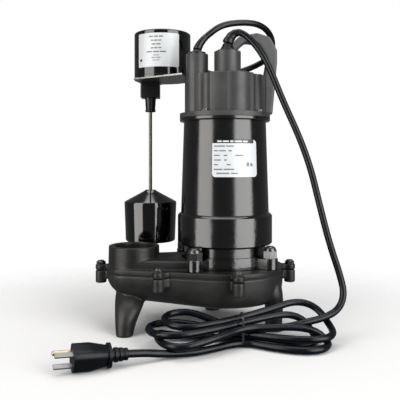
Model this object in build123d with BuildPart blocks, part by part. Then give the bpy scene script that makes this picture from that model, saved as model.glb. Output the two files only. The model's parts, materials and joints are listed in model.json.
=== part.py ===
from build123d import *
import os
from math import atan2, cos, degrees, pi, radians, sin, tan

# Submersible sump pump with a vertical float switch. Millimetres, +Z up, floor at z = 0.
os.makedirs("parts", exist_ok=True)

# Motor axis: everything is placed from it. It stands off the middle of the base outline.
AXIS_X = 36.5
AXIS_Y = -2.8

# Casing
CASE_R = 72.0
PORT_X = -112.0
PORT_Y = -12.0
LOBE_R = 33.0
BOWL_Z = 32.5
LIP_Z = 66.8
GASKET = 0.6
COVER_Z = LIP_Z + GASKET
FLANGE_TOP = 73.6
PORT_R = 30.8
PORT_BORE = 24.0
PORT_TOP = 98.5
PORT_THREAD = 24.0
# each leg from the floor up: height, x, y, radius
LEGS = [
    [(0, -118, -54, 10), (17, -117, -47, 13.2), (33, -115, -32, 17.5), (46, -114, -15, 18.5), (60, -112, -8, 15)],
    [(0, 57, -33, 10), (17, 57, -33, 10.4), (33, 57, -32.5, 11.2), (46, 55.5, -31.5, 12), (60, 53, -29, 11)],
    [(0, -14, 64, 10), (17, -14, 64, 12), (33, -13.5, 61, 15), (46, -13, 56, 17), (60, -12, 48, 18)]]
CASE_SCREWS = [(81.0, 0.0), (12.0, -81.0), (-79.0, -60.0), (-154.0, -4.0), (-76.0, 52.0), (12.0, 81.0)]

# Motor
SEAL_Z = 74.0
EAR_TOP = 86.0
NECK_Z = 87.6
NECK_R = 50.5
RING_Z = 100.0
RING_TOP = 137.0
RING_R = 58.7
BARREL_TOP = 250.5
BARREL_R = 54.7
BARREL_TOP_R = 51.1
RIM_R = 56.2
RIM_SPLIT = 255.0
RIM_TOP = 260.5
COVER_TOP = 307.0
COVER_R = 50.0
STUD_R = 64.0
STUD_ANGLES = [-35.5, -125.5, 144.5, 54.5]
COVER_SCREW_R = 52.4
COVER_SCREW_ANGLES = [-40.0, -119.0, 140.0, 61.0]
SHAFT_R = 6.0

# Towers and switch
LEFT_TOWER = (-34.6, -19.0)
RIGHT_TOWER = (2.0, -29.0)
LEFT_TOWER_R = 13.5
RIGHT_TOWER_R = 16.0
LEFT_TOWER_TOP = 331.0
RIGHT_TOWER_TOP = 332.4
SWITCH = (-81.0, 48.0)
SWITCH_R = 37.3
SWITCH_BASE = 309.0
SWITCH_TOP = 370.5
ROD = (-98.0, 58.0)
ROD_R = 2.25
FLOAT_R = 35.0
FLOAT_BOTTOM = 94.5
CORD_R = 3.9


def plane(z, x=0.0, y=0.0):
    """A horizontal plane at height z, with its origin at (x, y) from the motor axis."""
    return Plane((AXIS_X + x, AXIS_Y + y, z))


def polar(radius, angle):
    return radius * cos(radians(angle)), radius * sin(radians(angle))


def save(builder, name):
    builder.part.label = name
    export_step(builder.part, f"parts/{name}.step")


def case_outline(case_r, lobe_r, slide=1.0):
    """Teardrop outline of the volute: the pump circle, and the port circle drawn in by slide."""
    with BuildSketch(Plane.XY, mode=Mode.PRIVATE) as outline:
        Circle(case_r)
        with Locations((PORT_X * slide, PORT_Y * slide)):
            Circle(lobe_r)
        make_hull()
    return outline.sketch


def lug(x, y):
    """Middle of the web that ties a screw boss to the casing wall."""
    return (x + 8, y) if x < PORT_X else (x * 0.91, y * 0.91)


def lug_angle(x, y):
    return 0 if x < PORT_X else degrees(atan2(y, x))


# ---------------------------------------------------------------- volute casing
BOWL = [(LIP_Z, CASE_R, LOBE_R, 1.0), (62.0, CASE_R - 0.2, LOBE_R - 0.3, 1.0), (52.0, 71.2, 31.2, 0.985),
        (42.0, 69.6, 27.5, 0.93), (36.0, 66.8, 23.5, 0.84), (BOWL_Z, 60.5, 19.0, 0.72)]


def bowl_blank():
    """The casing's bowl before it is hollowed."""
    with BuildPart(mode=Mode.PRIVATE) as blank:
        for level, case_r, lobe_r, slide in BOWL:
            with BuildSketch(plane(level)):
                add(case_outline(case_r, lobe_r, slide))
        loft()
    return blank.part


with BuildPart() as lower_casing:
    add(bowl_blank())
    for x, y in CASE_SCREWS:
        with BuildSketch(plane(51, x, y)):
            Circle(6.8)
        extrude(amount=LIP_Z - 51)
        with BuildSketch(plane(56, *lug(x, y))):
            Rectangle(14, 11, rotation=lug_angle(x, y))
        extrude(amount=LIP_Z - 56)
    # pump chamber, volute passage to the port, and the suction eye below
    with BuildSketch(plane(44)):
        Circle(60)
    extrude(amount=LIP_Z - 44, mode=Mode.SUBTRACT)
    with BuildSketch(plane(50)):
        add(case_outline(34, 24, 0.98))
    extrude(amount=LIP_Z - 50, mode=Mode.SUBTRACT)
    with BuildSketch(plane(BOWL_Z)):
        Circle(24)
    extrude(amount=44 - BOWL_Z, mode=Mode.SUBTRACT)
    for x, y in CASE_SCREWS:
        with Locations(plane(LIP_Z, x, y)):
            Hole(2.6, depth=18)
save(lower_casing, "lower_casing")

with BuildPart() as casing_legs:
    for leg in LEGS:
        for level, x, y, radius in leg:
            with BuildSketch(plane(level, x, y)):
                Circle(radius)
        loft()
    add(bowl_blank(), mode=Mode.SUBTRACT)
save(casing_legs, "casing_legs")

with BuildPart() as casing_gasket:
    with BuildSketch(plane(LIP_Z)):
        add(case_outline(CASE_R - 1, LOBE_R - 1))
        add(case_outline(60, 24, 0.98), mode=Mode.SUBTRACT)
    extrude(amount=GASKET)
save(casing_gasket, "casing_gasket")

with BuildPart() as upper_casing:
    with BuildSketch(plane(COVER_Z)):
        add(case_outline(CASE_R, LOBE_R))
        for x, y in CASE_SCREWS:
            with Locations((x, y)):
                Circle(6.8)
            with Locations(lug(x, y)):
                Rectangle(14, 11, rotation=lug_angle(x, y))
    extrude(amount=FLANGE_TOP - COVER_Z)
    # raised roof over the passage from the pump chamber to the port
    with BuildSketch(plane(FLANGE_TOP)):
        add(case_outline(46, PORT_R + 0.4, 0.99))
    with BuildSketch(plane(80.5)):
        add(case_outline(45, PORT_R - 0.4, 0.99))
    with BuildSketch(plane(84.0)):
        add(case_outline(42, PORT_R - 4.0, 0.99))
    loft()
    with BuildSketch(plane(COVER_Z, PORT_X, PORT_Y)):
        Circle(PORT_R + 0.8)
    with BuildSketch(plane(PORT_TOP, PORT_X, PORT_Y)):
        Circle(PORT_R)
    loft()
    # seat for the motor's seal plate
    with BuildSketch(plane(SEAL_Z)):
        Circle(NECK_R + 2.2)
        for angle in STUD_ANGLES:
            x, y = polar(STUD_R, angle)
            with Locations((x, y)):
                Circle(9.6)
            with Locations((x * 0.85, y * 0.85)):
                Rectangle(20, 19.2, rotation=angle)
    extrude(amount=14, mode=Mode.SUBTRACT)
    # passage up into the discharge port
    with BuildSketch(plane(COVER_Z)):
        add(case_outline(24, 22, 0.98))
    extrude(amount=11.0, mode=Mode.SUBTRACT)
    with BuildSketch(plane(COVER_Z, PORT_X, PORT_Y)):
        Circle(22)
    extrude(amount=PORT_TOP - COVER_Z, mode=Mode.SUBTRACT)
    with BuildSketch(plane(PORT_TOP - PORT_THREAD, PORT_X, PORT_Y)):
        Circle(PORT_BORE)
    extrude(amount=PORT_THREAD, mode=Mode.SUBTRACT)
    with BuildSketch(plane(COVER_Z)):
        Circle(44)
    extrude(amount=SEAL_Z - COVER_Z, mode=Mode.SUBTRACT)
    for x, y in CASE_SCREWS:
        with Locations(plane(FLANGE_TOP, x, y)):
            Hole(2.6)
    for angle in STUD_ANGLES:
        with Locations(plane(SEAL_Z, *polar(STUD_R, angle))):
            Hole(4.0)
save(upper_casing, "upper_casing")

with BuildPart() as casing_screws:
    for x, y in CASE_SCREWS:
        with BuildSketch(plane(52, x, y)):
            Circle(2.5)
        extrude(amount=FLANGE_TOP - 52)
        with BuildSketch(plane(FLANGE_TOP, x, y)):
            RegularPolygon(5.8, 6)
        extrude(amount=3.4)
        with BuildSketch(plane(FLANGE_TOP + 3.4, x, y)):
            Circle(4.8)
        extrude(amount=1.5, taper=35)
save(casing_screws, "casing_screws")

# ---------------------------------------------------------------- motor end plate and housing
with BuildPart() as seal_plate:
    with BuildSketch(plane(SEAL_Z)):
        Circle(NECK_R + 1.8)
        for angle in STUD_ANGLES:
            x, y = polar(STUD_R, angle)
            with Locations((x, y)):
                Circle(9.2)
            with Locations((x * 0.85, y * 0.85)):
                Rectangle(20, 18.4, rotation=angle)
    extrude(amount=EAR_TOP - SEAL_Z)
    with BuildSketch(plane(SEAL_Z)):
        Circle(NECK_R + 1.8)
    extrude(amount=NECK_Z - SEAL_Z)
    with BuildSketch(plane(SEAL_Z - 6)):
        Circle(24)
    extrude(amount=6)
    with BuildSketch(plane(SEAL_Z - 6)):
        Circle(15)
    extrude(amount=NECK_Z - SEAL_Z + 6, mode=Mode.SUBTRACT)
    for angle in STUD_ANGLES:
        with Locations(plane(EAR_TOP, *polar(STUD_R, angle))):
            Hole(4.2)
    for angle in STUD_ANGLES:
        with Locations(plane(SEAL_Z, *polar(36, angle + 45)).rotated((180, 0, 0))):
            CounterSinkHole(2.6, 5.0, counter_sink_angle=90)
    with BuildSketch(plane(NECK_Z - 2.0)):
        Circle(46.0)
        Circle(43.4, mode=Mode.SUBTRACT)
    extrude(amount=2.0, mode=Mode.SUBTRACT)
save(seal_plate, "seal_plate")

with BuildPart() as seal_plate_o_ring:
    with BuildSketch(Plane((AXIS_X, AXIS_Y, 0), x_dir=(1, 0, 0), z_dir=(0, -1, 0))):
        with Locations((44.7, NECK_Z - 1.0)):
            Circle(1.0)
    revolve(axis=Axis((AXIS_X, AXIS_Y, 0), (0, 0, 1)))
save(seal_plate_o_ring, "seal_plate_o_ring")

with BuildPart() as seal_plate_screws:
    for angle in STUD_ANGLES:
        x, y = polar(36, angle + 45)
        with BuildSketch(plane(SEAL_Z + 0.2, x, y)):
            Circle(4.6)
        with BuildSketch(plane(SEAL_Z + 2.6, x, y)):
            Circle(2.4)
        loft()
        with BuildSketch(plane(SEAL_Z + 2.6, x, y)):
            Circle(2.4)
        extrude(amount=14)
save(seal_plate_screws, "seal_plate_screws")

with BuildPart() as housing_studs:
    for angle in STUD_ANGLES:
        with BuildSketch(plane(COVER_Z + 0.4, *polar(STUD_R, angle))):
            Circle(3.95)
        extrude(amount=98.4 - COVER_Z)
save(housing_studs, "housing_studs")

WASHER = 1.0
NUT_Z = EAR_TOP + WASHER
with BuildPart() as stud_washers:
    for angle in STUD_ANGLES:
        with BuildSketch(plane(EAR_TOP, *polar(STUD_R, angle))):
            Circle(8.8)
            Circle(4.1, mode=Mode.SUBTRACT)
        extrude(amount=WASHER)
save(stud_washers, "stud_washers")

with BuildPart() as dome_nuts:
    for angle in STUD_ANGLES:
        x, y = polar(STUD_R, angle)
        with BuildSketch(plane(NUT_Z, x, y)):
            RegularPolygon(9.0, 6, rotation=angle)
        extrude(amount=8.4)
        with BuildSketch(plane(NUT_Z + 8.4, x, y)):
            Circle(7.6)
        with BuildSketch(plane(NUT_Z + 12.0, x, y)):
            Circle(6.2)
        with BuildSketch(plane(NUT_Z + 14.0, x, y)):
            Circle(3.0)
        loft()
        with BuildSketch(plane(NUT_Z, x, y)):
            Circle(3.95)
        extrude(amount=12.0, mode=Mode.SUBTRACT)
save(dome_nuts, "dome_nuts")


def spun(points, x=0.0, y=0.0):
    """A solid turned about the vertical at (x, y) from the motor axis, from (radius, height) points."""
    middle = (AXIS_X + x, AXIS_Y + y, 0)
    with BuildPart(mode=Mode.PRIVATE) as turned:
        with BuildSketch(Plane(middle, x_dir=(1, 0, 0), z_dir=(0, -1, 0))):
            with BuildLine():
                Polyline(*points, close=True)
            make_face()
        revolve(axis=Axis(middle, (0, 0, 1)))
    return turned.part


with BuildPart() as motor_housing:
    add(spun([
        (8.4, NECK_Z), (NECK_R, NECK_Z), (NECK_R, RING_Z - 1.5), (RING_R - 1.5, RING_Z),
        (RING_R, RING_Z + 1.5), (RING_R, RING_TOP - 2.5), (RING_R - 2.0, RING_TOP),
        (BARREL_R, RING_TOP + 0.8), (BARREL_TOP_R, BARREL_TOP), (RIM_R - 1.0, BARREL_TOP),
        (RIM_R, BARREL_TOP + 1.0), (RIM_R, RIM_SPLIT - 0.4), (47.4, RIM_SPLIT - 0.4),
        (47.4, RIM_SPLIT - 3.0), (46.0, RIM_SPLIT - 3.0), (46.0, 118.0), (40.0, 108.0),
        (16.2, 108.0), (16.2, 97.0), (8.4, 97.0)]))
    for angle in COVER_SCREW_ANGLES:
        with Locations(plane(RIM_SPLIT - 0.4, *polar(COVER_SCREW_R - 0.6, angle))):
            Hole(1.9, depth=3.6)
    for angle in STUD_ANGLES:
        with BuildSketch(plane(NECK_Z, *polar(36, angle + 45))):
            Circle(2.4)
        extrude(amount=12, mode=Mode.SUBTRACT)
save(motor_housing, "motor_housing")

# ---------------------------------------------------------------- bearings, seal, rotor and stator
LOWER_BEARING = 97.5
UPPER_BEARING = 243.0
BEARING_H = 9.0


def bearing(base, prefix):
    """Rings of a deep-groove bearing, each its own piece."""
    middle = base + BEARING_H / 2
    with BuildPart() as outer_ring:
        add(spun([(13.2, base), (16.15, base), (16.15, base + BEARING_H), (13.2, base + BEARING_H)]))
        with BuildSketch(Plane((AXIS_X, AXIS_Y, 0), x_dir=(1, 0, 0), z_dir=(0, -1, 0))):
            with Locations((11.1, middle)):
                Circle(2.75)
        revolve(axis=Axis((AXIS_X, AXIS_Y, 0), (0, 0, 1)), mode=Mode.SUBTRACT)
    save(outer_ring, prefix + "_bearing_outer_ring")
    with BuildPart() as inner_ring:
        add(spun([(SHAFT_R, base), (9.0, base), (9.0, base + BEARING_H), (SHAFT_R, base + BEARING_H)]))
        with BuildSketch(Plane((AXIS_X, AXIS_Y, 0), x_dir=(1, 0, 0), z_dir=(0, -1, 0))):
            with Locations((11.1, middle)):
                Circle(2.75)
        revolve(axis=Axis((AXIS_X, AXIS_Y, 0), (0, 0, 1)), mode=Mode.SUBTRACT)
    save(inner_ring, prefix + "_bearing_inner_ring")


bearing(LOWER_BEARING, "lower")
bearing(UPPER_BEARING, "upper")

with BuildPart() as bearing_balls:
    for base in (LOWER_BEARING, UPPER_BEARING):
        with Locations(plane(base + BEARING_H / 2)):
            with PolarLocations(11.1, 7):
                Sphere(2.7)
save(bearing_balls, "bearing_balls")

with BuildPart() as upper_bearing_bracket:
    add(spun([(16.2, UPPER_BEARING), (20.0, UPPER_BEARING - 3), (45.9, UPPER_BEARING - 3),
              (45.9, UPPER_BEARING + 2), (24.0, UPPER_BEARING + 2), (19.5, UPPER_BEARING + 9.4),
              (12.0, UPPER_BEARING + 9.4), (12.0, UPPER_BEARING + 9.05), (16.2, UPPER_BEARING + 9.05)]))
    with BuildSketch(plane(UPPER_BEARING - 3)):
        with PolarLocations(34, 6):
            Circle(6)
    extrude(amount=6, mode=Mode.SUBTRACT)
save(upper_bearing_bracket, "upper_bearing_bracket")

with BuildPart() as shaft:
    add(spun([(0, 50), (4.0, 50), (4.0, 60), (SHAFT_R, 60), (SHAFT_R, 108), (7.5, 108),
              (7.5, 240), (SHAFT_R, 240), (SHAFT_R, 252.2), (0, 252.2)]))
save(shaft, "shaft")

with BuildPart() as rotor_core:
    with BuildSketch(plane(160)):
        Circle(26.6)
        Circle(7.5, mode=Mode.SUBTRACT)
    extrude(amount=60)
    for level in (155, 220):
        with BuildSketch(plane(level)):
            Circle(25.5)
            Circle(19, mode=Mode.SUBTRACT)
        extrude(amount=5)
        with BuildSketch(plane(level - 4 if level < 200 else level + 5)):
            with PolarLocations(22, 9):
                Rectangle(5, 1.6)
        extrude(amount=4)
save(rotor_core, "rotor_core")

SLOTS = 24
with BuildPart() as stator_core:
    with BuildSketch(plane(160)):
        Circle(46.0)
        Circle(27.2, mode=Mode.SUBTRACT)
        with PolarLocations(34.4, SLOTS):
            Rectangle(10.4, 4.6, mode=Mode.SUBTRACT)
        with PolarLocations(28, SLOTS):
            Rectangle(4, 1.6, mode=Mode.SUBTRACT)
    extrude(amount=60)
save(stator_core, "stator_core")

with BuildPart() as stator_windings:
    with BuildSketch(plane(142)):
        with PolarLocations(34.4, SLOTS):
            Rectangle(9.6, 3.8)
    extrude(amount=96)
    for base in (142, 222):
        add(spun([(30.4, base + 1), (33, base), (40, base), (43, base + 3), (43, base + 14),
                  (40, base + 16), (32, base + 16), (30.4, base + 13)]))
save(stator_windings, "stator_windings")

with BuildPart() as overload_protector:
    with BuildSketch(plane(239.2, -30, 16)):
        RectangleRounded(9, 14, 2)
    extrude(amount=0.6)
save(overload_protector, "overload_protector")

with BuildPart() as seal_seat:
    add(spun([(7.0, SEAL_Z - 5.8), (14.9, SEAL_Z - 5.8), (14.9, SEAL_Z + 1), (7.0, SEAL_Z + 1)]))
save(seal_seat, "seal_seat")

with BuildPart() as seal_head:
    add(spun([(SHAFT_R, 65.4), (13.0, 65.4), (13.0, 66.6), (10.0, 66.6), (10.0, SEAL_Z - 5.9),
              (SHAFT_R, SEAL_Z - 5.9)]))
save(seal_head, "seal_head")

with BuildPart() as seal_spring:
    with BuildLine():
        Helix(1.8, 3.9, 9.0, center=(AXIS_X, AXIS_Y, 60.9))
    with BuildSketch(Plane((AXIS_X + 9.0, AXIS_Y, 60.9), x_dir=(1, 0, 0), z_dir=(0, 1, 0))):
        Circle(0.45)
    sweep(is_frenet=True)
save(seal_spring, "seal_spring")

with BuildPart() as impeller:
    add(spun([(4.05, 52.0), (9.0, 52.0), (9.0, 56.6), (42.0, 56.6), (42.0, 59.6),
              (10.5, 59.9), (4.05, 59.9)]))
    for step in range(5):
        turn = radians(72 * step)
        with BuildSketch(plane(47.0)):
            with BuildLine():
                inner = (8 * cos(turn), 8 * sin(turn))
                mid = (25 * cos(turn + 0.55), 25 * sin(turn + 0.55))
                outer = (41 * cos(turn + 1.35), 41 * sin(turn + 1.35))
                ThreePointArc(inner, mid, outer)
                offset(amount=1.6, side=Side.BOTH)
            make_face()
        extrude(amount=9.8)
    with BuildSketch(plane(46)):
        Circle(8.9)
    extrude(amount=6, mode=Mode.SUBTRACT)
save(impeller, "impeller")

with BuildPart() as impeller_nut:
    with BuildSketch(plane(46.4)):
        RegularPolygon(7.4, 6)
    extrude(amount=5.4)
    with BuildSketch(plane(49.9)):
        Circle(4.0)
    extrude(amount=2, mode=Mode.SUBTRACT)
save(impeller_nut, "impeller_nut")

# ---------------------------------------------------------------- top cover and what is on it
with BuildPart() as cover_gasket:
    with BuildSketch(plane(RIM_SPLIT - 0.4)):
        Circle(RIM_R - 0.6)
        Circle(44.0, mode=Mode.SUBTRACT)
        for angle in COVER_SCREW_ANGLES:
            with Locations(polar(COVER_SCREW_R - 0.6, angle)):
                Circle(2.2, mode=Mode.SUBTRACT)
    extrude(amount=0.4)
save(cover_gasket, "cover_gasket")

LOBE = (9.5, -30.5)
LOBE_BULGE = 21.5


def cover_outline(inset):
    """Round cover with one large front lobe and four grooves that give access to its screws."""
    with BuildSketch(Plane.XY, mode=Mode.PRIVATE) as outline:
        Circle(COVER_R - inset)
        with Locations(LOBE):
            Circle(LOBE_BULGE - inset)
        with Locations(LEFT_TOWER):
            Circle(LEFT_TOWER_R - inset)
        for angle in COVER_SCREW_ANGLES:
            x, y = polar(COVER_SCREW_R + 1.5, angle - (3 if angle == -119 else 0))
            with Locations((x, y)):
                Circle(9.0 + inset, mode=Mode.SUBTRACT)
    return outline.sketch


with BuildPart() as top_cover:
    with BuildSketch(plane(RIM_SPLIT)):
        Circle(RIM_R)
    extrude(amount=RIM_TOP - RIM_SPLIT)
    with BuildSketch(plane(RIM_TOP)):
        add(cover_outline(0))
    extrude(amount=COVER_TOP - RIM_TOP)
    fillet(top_cover.faces().sort_by(Axis.Z)[-1].edges(), 2.0)
    for tower, radius, top in ((LEFT_TOWER, LEFT_TOWER_R, LEFT_TOWER_TOP),
                               (RIGHT_TOWER, RIGHT_TOWER_R, RIGHT_TOWER_TOP)):
        with BuildSketch(plane(COVER_TOP - 4, *tower)):
            Circle(radius)
        extrude(amount=top - COVER_TOP + 4)
    with BuildSketch(plane(RIM_SPLIT)):
        add(cover_outline(4.5))
    extrude(amount=COVER_TOP - 4 - RIM_SPLIT, mode=Mode.SUBTRACT)
    for tower in (LEFT_TOWER, RIGHT_TOWER):
        with BuildSketch(plane(COVER_TOP - 6, *tower)):
            Circle(9.0)
        extrude(amount=40, mode=Mode.SUBTRACT)
    for angle in COVER_SCREW_ANGLES:
        with Locations(plane(RIM_TOP, *polar(COVER_SCREW_R - 0.6, angle))):
            Hole(2.2)
save(top_cover, "top_cover")

with BuildPart() as cover_screws:
    for angle in COVER_SCREW_ANGLES:
        x, y = polar(COVER_SCREW_R - 0.6, angle)
        with BuildSketch(plane(RIM_SPLIT - 3.6, x, y)):
            Circle(1.85)
        extrude(amount=RIM_TOP - RIM_SPLIT + 3.6)
        with BuildSketch(plane(RIM_TOP, x, y)):
            RegularPolygon(4.0, 6)
        extrude(amount=2.4)
save(cover_screws, "cover_screws")

with BuildPart() as capacitor:
    with BuildSketch(plane(263.0, 4, 20)):
        Circle(16.0)
    extrude(amount=36)
    fillet(capacitor.edges().filter_by(GeomType.CIRCLE), 1.5)
    with Locations(plane(299.0, 4, 20)):
        with Locations((-5, 0), (5, 0)):
            Box(1.0, 6.0, 3.0, align=(Align.CENTER, Align.CENTER, Align.MIN))
save(capacitor, "capacitor")

def gland(tower, base, flange_r, flange_h, tip_r, tip_h):
    """Rubber plug in a tower's bore, with a flange and a cone that holds the cord."""
    with BuildPart(mode=Mode.PRIVATE) as plug:
        with BuildSketch(plane(base - 14, *tower)):
            Circle(9.0)
        extrude(amount=14)
        with BuildSketch(plane(base, *tower)):
            Circle(flange_r)
        extrude(amount=flange_h)
        with BuildSketch(plane(base + flange_h, *tower)):
            Circle(flange_r - 3.5)
        with BuildSketch(plane(base + flange_h + tip_h, *tower)):
            Circle(tip_r)
        loft()
    return plug.part


with BuildPart() as switch_cord_gland:
    add(gland(LEFT_TOWER, LEFT_TOWER_TOP, 10.6, 2.6, 5.0, 3.0))
save(switch_cord_gland, "switch_cord_gland")
with BuildPart() as power_cord_gland:
    add(gland(RIGHT_TOWER, RIGHT_TOWER_TOP, 13.0, 1.6, 5.2, 8.6))
save(power_cord_gland, "power_cord_gland")

# ---------------------------------------------------------------- carrying handle
HANDLE_FRONT = 15.0
HANDLE_DEPTH = 22.0
HANDLE_OUTER = [(-5, COVER_TOP), (-5, 330), (5, 349), (20, 362), (42, 366), (59, 361), (68, 344),
                (68, 328), (62, 262)]
HANDLE_INNER = [(51.2, 262), (51.2, 311), (55, 334), (44, 352.5), (27, 355), (15, 344), (7, 327),
                (7, COVER_TOP)]
with BuildPart() as carry_handle:
    with BuildSketch(Plane((AXIS_X, AXIS_Y + HANDLE_FRONT, 0), x_dir=(1, 0, 0), z_dir=(0, -1, 0))):
        with BuildLine():
            FilletPolyline(*HANDLE_OUTER, radius=8)
            Line(HANDLE_OUTER[-1], HANDLE_INNER[0])
            FilletPolyline(*HANDLE_INNER, radius=7)
            Line(HANDLE_INNER[-1], HANDLE_OUTER[0])
        make_face()
    extrude(amount=-HANDLE_DEPTH)
    fillet(carry_handle.faces().filter_by(Axis.Y).edges(), 3.0)
    for left, right in ((6.0, 17.0), (40.0, 52.0)):
        with BuildSketch(plane(COVER_TOP, (left + right) / 2, HANDLE_FRONT + 10)):
            RectangleRounded(right - left, 14, 2)
        extrude(amount=4)
        with Locations(plane(COVER_TOP + 4, 13.0 if left < 20 else 44.0, HANDLE_FRONT + 10)):
            Hole(1.9, depth=4)
save(carry_handle, "carry_handle")

with BuildPart() as handle_screws:
    for x in (13.0, 44.0):
        with BuildSketch(plane(COVER_TOP, x, HANDLE_FRONT + 10)):
            Circle(1.85)
        extrude(amount=4)
        with BuildSketch(plane(COVER_TOP + 4, x, HANDLE_FRONT + 10)):
            Circle(3.6)
        extrude(amount=2.2, taper=20)
save(handle_screws, "handle_screws")

# ---------------------------------------------------------------- float switch
PLATE = [(-117, 24), (-53, -20), (-49, 0), (-24, 3), (-24, 40), (-52, 44), (-84, 62), (-84, 76), (-110, 76)]
PLATE_SCREWS = [(-34, 8), (-30, 24)]
with BuildPart() as switch_bracket:
    with BuildSketch(plane(COVER_TOP)):
        with BuildLine():
            Polyline(*PLATE, close=True)
        make_face()
        with Locations(LEFT_TOWER):
            Circle(LEFT_TOWER_R + 0.4, mode=Mode.SUBTRACT)
        with Locations(*PLATE_SCREWS):
            Circle(2.1, mode=Mode.SUBTRACT)
        with Locations(ROD):
            Circle(8.2, mode=Mode.SUBTRACT)
    extrude(amount=SWITCH_BASE - COVER_TOP)
    fillet(switch_bracket.edges().filter_by(Axis.Z).sort_by(Axis.X)[:2], 2.5)
save(switch_bracket, "switch_bracket")

with BuildPart() as bracket_screws:
    for x, y in PLATE_SCREWS:
        with BuildSketch(plane(COVER_TOP, x, y)):
            Circle(1.95)
        extrude(amount=SWITCH_BASE - COVER_TOP)
        with BuildSketch(plane(SWITCH_BASE, x, y)):
            RegularPolygon(3.9, 6)
        extrude(amount=2.6)
save(bracket_screws, "bracket_screws")

PIVOT_X = -72.0
PIVOT_Z = 328.0
with BuildPart() as switch_base:
    with BuildSketch(plane(SWITCH_BASE, *SWITCH)):
        Circle(SWITCH_R)
    extrude(amount=4)
    with BuildSketch(plane(SWITCH_BASE + 4, *SWITCH)):
        Circle(34.4)
        Circle(32.4, mode=Mode.SUBTRACT)
    extrude(amount=5)
    with BuildSketch(plane(SWITCH_BASE + 4, *ROD)):
        Circle(6)
    extrude(amount=5)
    for y in (53.2, 61.0):
        with BuildSketch(plane(SWITCH_BASE + 4, PIVOT_X, y + 0.9)):
            Rectangle(7, 1.8)
        extrude(amount=PIVOT_Z + 4 - SWITCH_BASE - 4)
    for y in (50.0, 63.0):
        with BuildSketch(plane(SWITCH_BASE + 4, -90, y + 1.5)):
            Rectangle(8, 3)
        extrude(amount=38)
    with BuildSketch(plane(SWITCH_BASE, *ROD)):
        Circle(3.0)
    extrude(amount=9, mode=Mode.SUBTRACT)
    with BuildSketch(Plane((AXIS_X + PIVOT_X, AXIS_Y + 50, PIVOT_Z), x_dir=(1, 0, 0), z_dir=(0, 1, 0))):
        Circle(1.5)
    extrude(amount=16, mode=Mode.SUBTRACT)
save(switch_base, "switch_base")

CORD_ENTRY_Z = 324.0
with BuildPart() as switch_housing:
    with BuildSketch(plane(SWITCH_BASE + 4, *SWITCH)):
        Circle(SWITCH_R)
    extrude(amount=SWITCH_TOP - SWITCH_BASE - 4)
    fillet(switch_housing.faces().sort_by(Axis.Z)[-1].edges(), 2.2)
    with BuildSketch(plane(SWITCH_BASE + 4, *SWITCH)):
        Circle(34.5)
    extrude(amount=SWITCH_TOP - SWITCH_BASE - 7, mode=Mode.SUBTRACT)
    with BuildSketch(Plane((AXIS_X + SWITCH[0] + 30, AXIS_Y + SWITCH[1], CORD_ENTRY_Z),
                           x_dir=(0, 1, 0), z_dir=(1, 0, 0))):
        Circle(6.0)
    extrude(amount=12, mode=Mode.SUBTRACT)
save(switch_housing, "switch_housing")

with BuildPart() as switch_side_gland:
    with BuildSketch(Plane((AXIS_X + SWITCH[0] + 33.0, AXIS_Y + SWITCH[1], CORD_ENTRY_Z),
                           x_dir=(0, 1, 0), z_dir=(1, 0, 0))):
        Circle(5.95)
    extrude(amount=6.5)
    with BuildSketch(Plane((AXIS_X + SWITCH[0] + 37.6, AXIS_Y + SWITCH[1], CORD_ENTRY_Z),
                           x_dir=(0, 1, 0), z_dir=(1, 0, 0))):
        Circle(7.4)
    with BuildSketch(Plane((AXIS_X + SWITCH[0] + 47.0, AXIS_Y + SWITCH[1], CORD_ENTRY_Z),
                           x_dir=(0, 1, 0), z_dir=(1, 0, 0))):
        Circle(5.2)
    loft()
save(switch_side_gland, "switch_side_gland")

with BuildPart() as microswitch:
    with BuildSketch(plane(340, -90, 57.9)):
        Rectangle(20, 9.4)
    extrude(amount=11)
    with BuildSketch(plane(336, -94, 58)):
        Rectangle(3, 3)
    extrude(amount=4)
save(microswitch, "microswitch")

with BuildPart() as switch_lever:
    with BuildSketch(plane(326.5, -85, 58)):
        RectangleRounded(34, 4.4, 1)
    extrude(amount=3)
    with BuildSketch(Plane((AXIS_X + PIVOT_X, AXIS_Y + 55.8, PIVOT_Z), x_dir=(1, 0, 0),
                           z_dir=(0, 1, 0))):
        Circle(2.9)
    extrude(amount=4.4)
    with BuildSketch(Plane((AXIS_X + PIVOT_X, AXIS_Y + 50, PIVOT_Z), x_dir=(1, 0, 0), z_dir=(0, 1, 0))):
        Circle(1.55)
    extrude(amount=16, mode=Mode.SUBTRACT)
save(switch_lever, "switch_lever")

with BuildPart() as lever_pin:
    with BuildSketch(Plane((AXIS_X + PIVOT_X, AXIS_Y + 52.6, PIVOT_Z), x_dir=(1, 0, 0),
                           z_dir=(0, 1, 0))):
        Circle(1.5)
    extrude(amount=10.6)
save(lever_pin, "lever_pin")

with BuildPart() as switch_stem:
    with BuildSketch(plane(287, *ROD)):
        RectangleRounded(25, 25, 2)
    extrude(amount=COVER_TOP - 287)
    with BuildSketch(plane(COVER_TOP, *ROD)):
        Circle(8.0)
    extrude(amount=SWITCH_BASE - COVER_TOP)
    with BuildSketch(plane(287, *ROD)):
        Circle(2.8)
    extrude(amount=30, mode=Mode.SUBTRACT)
save(switch_stem, "switch_stem")

with BuildPart() as rod_boot:
    add(spun([(2.8, 268), (6.4, 268), (6.9, 268.6), (6.9, 270.6), (6.4, 271.2), (7.2, 284), (7.8, 287), (2.8, 287)],
             *ROD))
save(rod_boot, "rod_boot")

with BuildPart() as float_rod:
    with BuildSketch(plane(84, *ROD)):
        Circle(ROD_R)
    extrude(amount=240)
    with BuildSketch(plane(324, *ROD)):
        Circle(ROD_R)
    with BuildSketch(plane(326, *ROD)):
        Circle(0.8)
    loft()
save(float_rod, "float_rod")

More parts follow.
